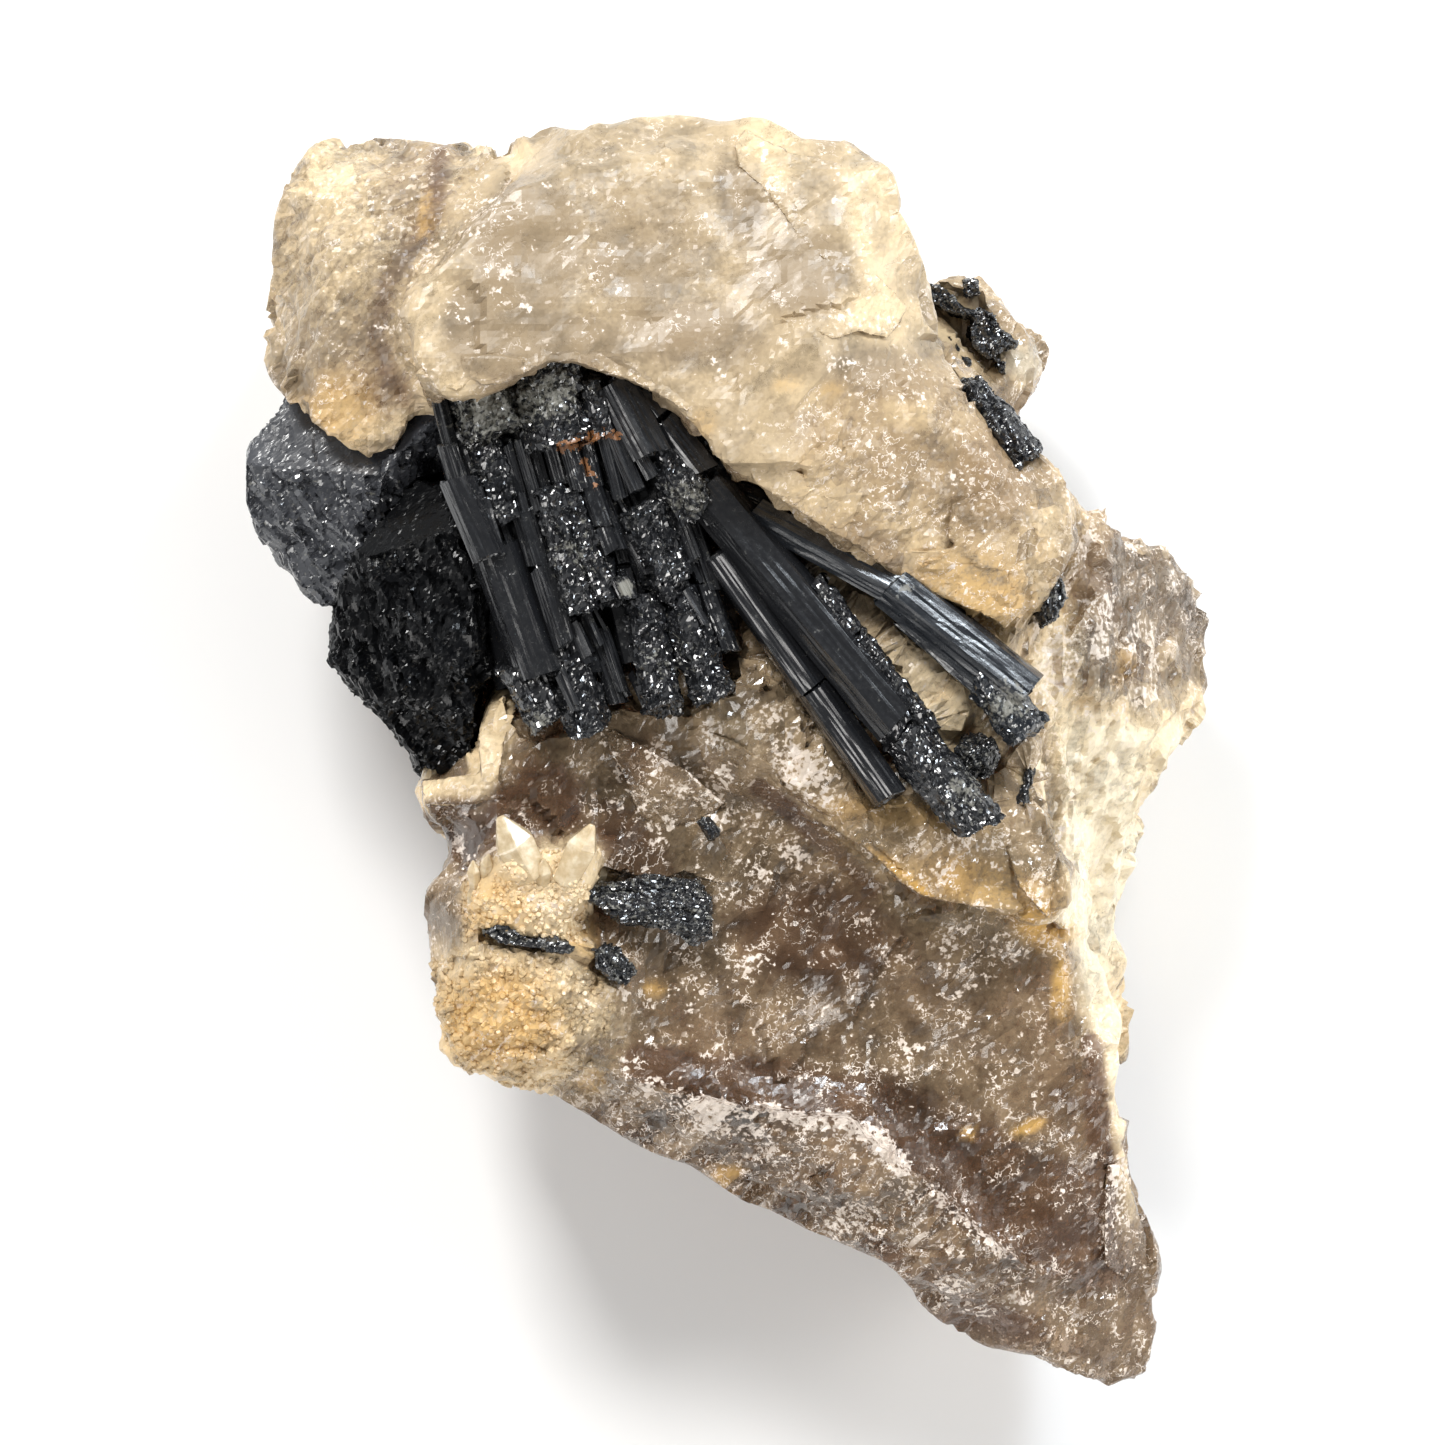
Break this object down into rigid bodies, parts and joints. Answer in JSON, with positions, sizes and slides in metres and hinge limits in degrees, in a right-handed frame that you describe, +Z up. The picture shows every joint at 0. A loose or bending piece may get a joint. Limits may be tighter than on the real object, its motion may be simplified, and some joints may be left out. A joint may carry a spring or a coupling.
{
  "type": "schorl on smoky quartz",
  "caption": "Hand-sized mineral specimen: a fan of black schorl crystals and long rods grown on rough smoky quartz, lying on a flat broken back.",
  "frame": {"origin": "middle of the specimen's outline, on the flat broken back that it lies on", "axes": "+Z up from the back to the display face, +Y towards the upper end of the display face, +X to its right"},
  "size_m": [0.0622, 0.0821, 0.041],
  "materials": {
    "smoky_quartz": "translucent, frosted, rough",
    "schorl": "opaque black, glossy, striated"
  },
  "bodies": {
    "root": {"smoky_quartz": "smoky_quartz", "schorl_fan": "schorl", "schorl_rod_pair": "schorl", "schorl_blue_rod": "schorl", "schorl_side_crystal": "schorl", "schorl_lower_crystal": "schorl", "schorl_knob": "schorl", "schorl_shoulder_grain": "schorl", "schorl_flank_grain": "schorl", "schorl_seam_crystal": "schorl", "schorl_green_needle": "schorl", "schorl_seam_grain": "schorl", "schorl_middle_speck": "schorl", "schorl_table_sliver": "schorl", "schorl_back_grains": "schorl"}
  },
  "joints": []
}
